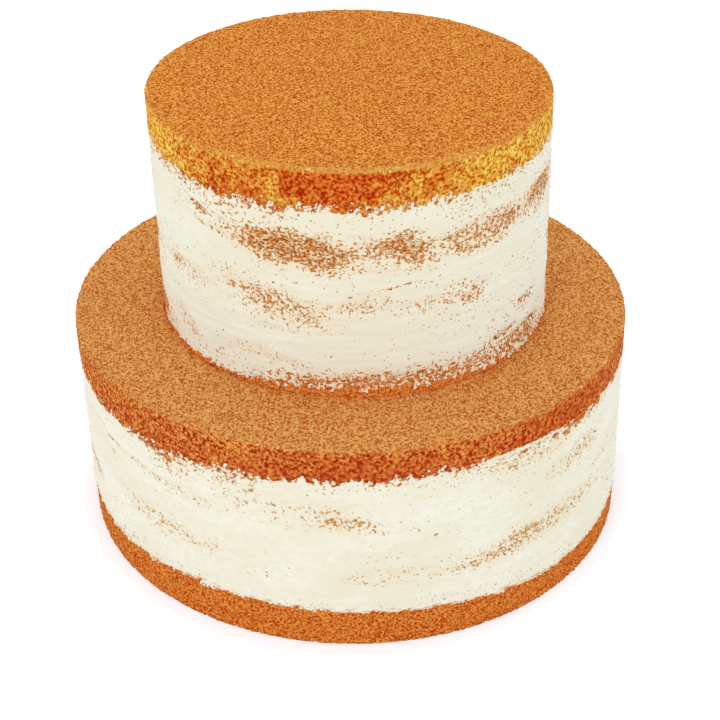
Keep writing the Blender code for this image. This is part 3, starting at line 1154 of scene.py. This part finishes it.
class CAKE_OT_bare_tops(bpy.types.Operator):
    """Build the bare baked layer on top of each tier"""

    bl_idname = "cake.bare_tops"
    bl_label = "Bare Tops"

    def execute(self, context):
        scene = context.scene
        sizes, colours = scene.cake_sizes, scene.cake_colours
        bakes = {
            "upper": Bake(
                crust=colours.golden_crust,
                wall=colours.golden_wall,
                toasted=colours.toasted,
                layer=colours.layer,
                crust_contrast=1.42,
                wall_contrast=2.3,
            ),
            "lower": Bake(
                crust=colours.brown_crust,
                wall=colours.brown_wall,
                toasted=colours.brown_toasted,
                layer=colours.tan_layer,
                crust_contrast=1.25,
                wall_contrast=1.75,
            ),
        }
        for name, bake in bakes.items():
            tier = Tier(name)
            top = build_bare_top(tier, sizes, colours, bake)
            shades = (colours.crumb_pale, colours.crumb_rim)
            strew(name + "_rim_crumbs", top, CRUMBS, shades, sizes, slot_of(tier))
        return {"FINISHED"}


class CAKE_OT_cream(bpy.types.Operator):
    """Build the scraped coats with their crumbs and lumps, and the crumbs round the upper tier's foot"""

    bl_idname = "cake.cream"
    bl_label = "Cream and Crumbs"

    def execute(self, context):
        scene = context.scene
        sizes, colours = scene.cake_sizes, scene.cake_colours
        sponges = {
            "upper": (colours.speck, colours.layer),
            "lower": (colours.tan_speck, colours.tan_layer),
        }
        shades = {
            "upper": (colours.crumb_dark, colours.crumb_mid),
            "lower": (colours.layer, colours.tan_speck),
        }
        lump_shades = (colours.cream_warm, colours.cream)
        for name in ("upper", "lower"):
            tier = Tier(name)
            coat = build_coat(tier, sizes, cream_material(name + "_cream", *sponges[name], colours))
            strew(name + "_caught_crumbs", coat, CRUMBS, shades[name], sizes, slot_of(tier))
            strew(name + "_cream_lumps", coat, LUMPS, lump_shades, sizes, "cream")
        ring = foot_ring(Tier("upper"), Tier("lower").top + 0.1 * MM)
        foot_shades = (colours.toasted, colours.foot)
        strew("foot_crumbs", ring, FOOT_CRUMBS, foot_shades, sizes, slot_of(Tier("lower")))
        return {"FINISHED"}


class CAKE_OT_fillings(bpy.types.Operator):
    """Dress the cream fillings that lie behind the coats"""

    bl_idname = "cake.fillings"
    bl_label = "Fillings"

    def execute(self, context):
        for name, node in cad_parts.items():
            tier, _, layer = name.partition("_cream_")
            if layer and layer != "coat":
                for slot in node.material_slots:
                    slot.material = bpy.data.materials[tier + "_cream"]
        return {"FINISHED"}


class CAKE_OT_stage(bpy.types.Operator):
    """Build the floor, the light and the camera"""

    bl_idname = "cake.stage"
    bl_label = "Stage"

    def execute(self, context):
        settings = context.scene.cake_stage
        build_floor(settings)
        build_light(settings)
        build_camera(settings)
        return {"FINISHED"}


def seen_directly(tree):
    """1 for what the camera sees, also in a reflection or through glass, and 0 for what only lights."""
    rays = add_node(tree, "ShaderNodeLightPath").outputs
    mirrored = math_of(tree, "MAXIMUM", rays["Is Glossy Ray"], rays["Is Transmission Ray"])
    return math_of(tree, "MAXIMUM", rays["Is Camera Ray"], mirrored)


def build_floor(settings):
    """A wide floor that keeps the cake's shadow and looks white to the camera."""
    reach = settings.floor_reach
    corners = [(-reach, -reach, 0.0), (reach, -reach, 0.0), (reach, reach, 0.0), (-reach, reach, 0.0)]
    floor = bpy.data.objects.new("floor", new_mesh("floor", np.array(corners), [(0, 1, 2, 3)]))
    bpy.context.scene.collection.objects.link(floor)
    material, tree, shader, _ = new_material("floor", 0.9, specular=0.0)
    shader.inputs["Base Color"].default_value = opaque(settings.floor_colour)
    shader.inputs["Emission Color"].default_value = opaque(settings.glow_colour)
    glow = math_of(tree, "MULTIPLY", seen_directly(tree), settings.glow)
    tree.links.new(glow, shader.inputs["Emission Strength"])
    floor.data.materials.append(material)


def build_light(settings):
    """An even white sky, seen as white, and one big soft lamp above the left shoulder of the camera."""
    scene = bpy.context.scene
    scene.world = bpy.data.worlds.new("sky")
    scene.world.use_nodes = True
    tree = scene.world.node_tree
    sky = tree.nodes["Background"]
    sky.inputs["Color"].default_value = (1, 1, 1, 1)
    strength = remap(tree, seen_directly(tree), 0.0, 1.0, settings.sky, 1.0)
    tree.links.new(strength, sky.inputs["Strength"])
    lamp = bpy.data.lights.new("key", "AREA")
    lamp.shape = "DISK"
    lamp.size = settings.key_size
    lamp.energy = settings.key_power
    key = bpy.data.objects.new("key", lamp)
    key.location = settings.key_place
    aim = Vector((0, 0, settings.key_aim)) - key.location
    key.rotation_euler = aim.to_track_quat("-Z", "Y").to_euler()
    scene.collection.objects.link(key)
    scene.view_settings.view_transform = "Standard"


def build_camera(settings):
    """A long lens that looks down on the cake's front."""
    aim = Vector((settings.aim_side, 0, settings.aim_height))
    back = Vector((0, -math.cos(settings.elevation), math.sin(settings.elevation)))
    camera = bpy.data.objects.new("camera", bpy.data.cameras.new("camera"))
    camera.data.lens = settings.lens
    camera.data.sensor_width = 36
    camera.location = aim + back * settings.distance
    camera.rotation_euler = (-back).to_track_quat("-Z", "Y").to_euler()
    bpy.context.scene.collection.objects.link(camera)
    bpy.context.scene.camera = camera


OPERATORS = (
    CAKE_OT_sponge_layers,
    CAKE_OT_bare_tops,
    CAKE_OT_cream,
    CAKE_OT_fillings,
    CAKE_OT_stage,
)


class CAKE_PT_pieces(bpy.types.Panel):
    """The cake's pieces, in the order they are built"""

    bl_label = "Naked Layer Cake"
    bl_space_type = "VIEW_3D"
    bl_region_type = "UI"
    bl_category = "Cake"

    def draw(self, context):
        for operator in OPERATORS:
            self.layout.operator(operator.bl_idname)
        for group in (context.scene.cake_sizes, context.scene.cake_colours, context.scene.cake_stage):
            for setting in group.__annotations__:
                self.layout.prop(group, setting)


CLASSES = (CakeSizes, CakeColours, CakeStage, *OPERATORS, CAKE_PT_pieces)


def register():
    for kind in CLASSES:
        bpy.utils.register_class(kind)
    bpy.types.Scene.cake_sizes = PointerProperty(type=CakeSizes)
    bpy.types.Scene.cake_colours = PointerProperty(type=CakeColours)
    bpy.types.Scene.cake_stage = PointerProperty(type=CakeStage)


def unregister():
    del bpy.types.Scene.cake_stage
    del bpy.types.Scene.cake_colours
    del bpy.types.Scene.cake_sizes
    for kind in reversed(CLASSES):
        bpy.utils.unregister_class(kind)


def main():
    register()
    bpy.ops.cake.sponge_layers()
    bpy.ops.cake.bare_tops()
    bpy.ops.cake.cream()
    bpy.ops.cake.fillings()
    bpy.ops.cake.stage()


if __name__ == "__main__":
    main()
